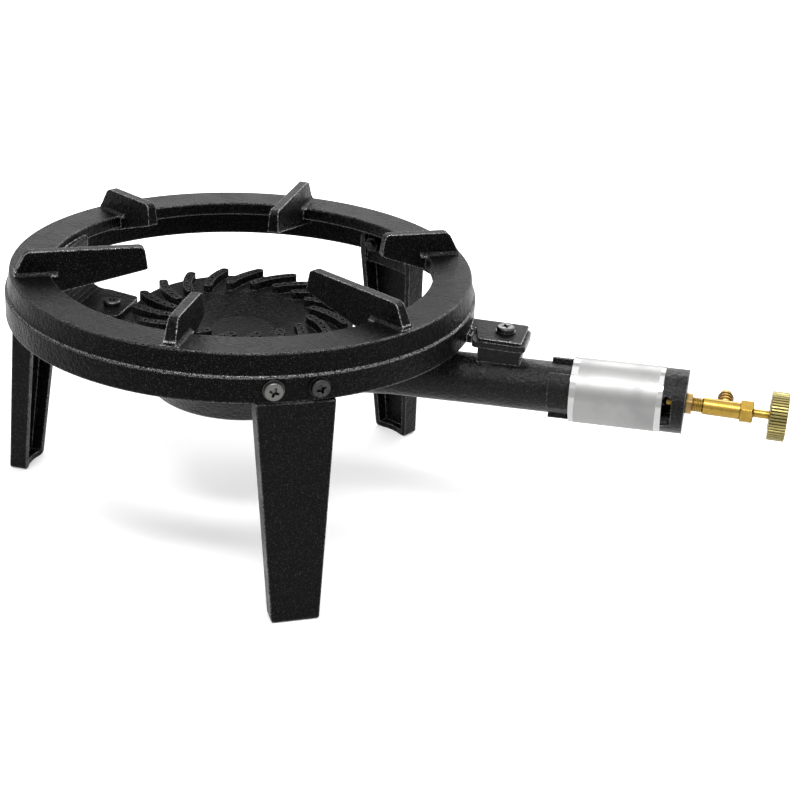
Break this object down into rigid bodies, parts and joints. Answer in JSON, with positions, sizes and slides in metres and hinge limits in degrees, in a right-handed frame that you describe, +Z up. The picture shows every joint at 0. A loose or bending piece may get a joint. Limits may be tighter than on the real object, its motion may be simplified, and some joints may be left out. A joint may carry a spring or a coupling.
{
  "type": "gas burner stand",
  "caption": "Low cast-iron gas burner on a ring stand with raised pot prongs, channel legs, finned ring burner, mixing tube, sliding air shutter and brass needle valve.",
  "frame": {"origin": "on the floor, on the ring's vertical axis, in the plane of the three feet", "axes": "+Z up, +X along the burner's tube towards the valve knob, +Y to the rear"},
  "size_m": [0.5282, 0.3084, 0.1889],
  "materials": {
    "ring_iron": "sand-cast, glossy black stove paint",
    "leg_iron": "sand-cast, glossy black stove paint",
    "burner_iron": "sand-cast, glossy black stove paint",
    "head_iron": "sand-cast, satin black stove paint",
    "screw_steel": "zinc plated",
    "shutter_steel": "satin, bare",
    "valve_brass": "turned, bright",
    "nut_brass": "coppery, turned",
    "knob_brass": "straight-knurled, slightly dulled",
    "needle_steel": "turned",
    "packing": "matt"
  },
  "bodies": {
    "stand": {"stand_ring": "ring_iron", "leg_left": "leg_iron", "leg_rear": "leg_iron", "leg_front": "leg_iron", "leg_screws": "screw_steel", "leg_washers": "screw_steel", "leg_nuts": "screw_steel", "burner_body": "burner_iron", "burner_head": "head_iron", "head_bolt": "screw_steel", "head_bolt_washer": "screw_steel", "burner_screws": "screw_steel", "burner_screw_washer": "screw_steel", "burner_screw_nut": "screw_steel", "air_box": "burner_iron", "gas_jet": "valve_brass", "lock_nut": "nut_brass", "valve_body": "valve_brass", "gland_nut": "valve_brass", "gland_packing": "packing"},
    "shutter": {"air_shutter": "shutter_steel"},
    "needle": {"valve_needle": "needle_steel"},
    "knob": {"valve_spindle": "valve_brass", "valve_knob": "knob_brass"}
  },
  "joints": [
    {"name": "shutter_slide", "type": "slide", "parent": "stand", "child": "shutter", "axis": [0.9994, 0, 0.0349], "range_m": [-0.012, 0.008]},
    {"name": "needle_slide", "type": "slide", "parent": "stand", "child": "needle", "axis": [1, 0, 0], "range_m": [0, 0.00226]},
    {"name": "knob_turn", "type": "hinge", "parent": "needle", "child": "knob", "pos_m": [0.3552, 0, 0.11877], "axis": [1, 0, 0], "range_deg": [0, 810]}
  ],
  "couplings": [
    {"joint": "needle_slide", "follows": "knob_turn", "m_per_rad": 0.00015915}
  ]
}
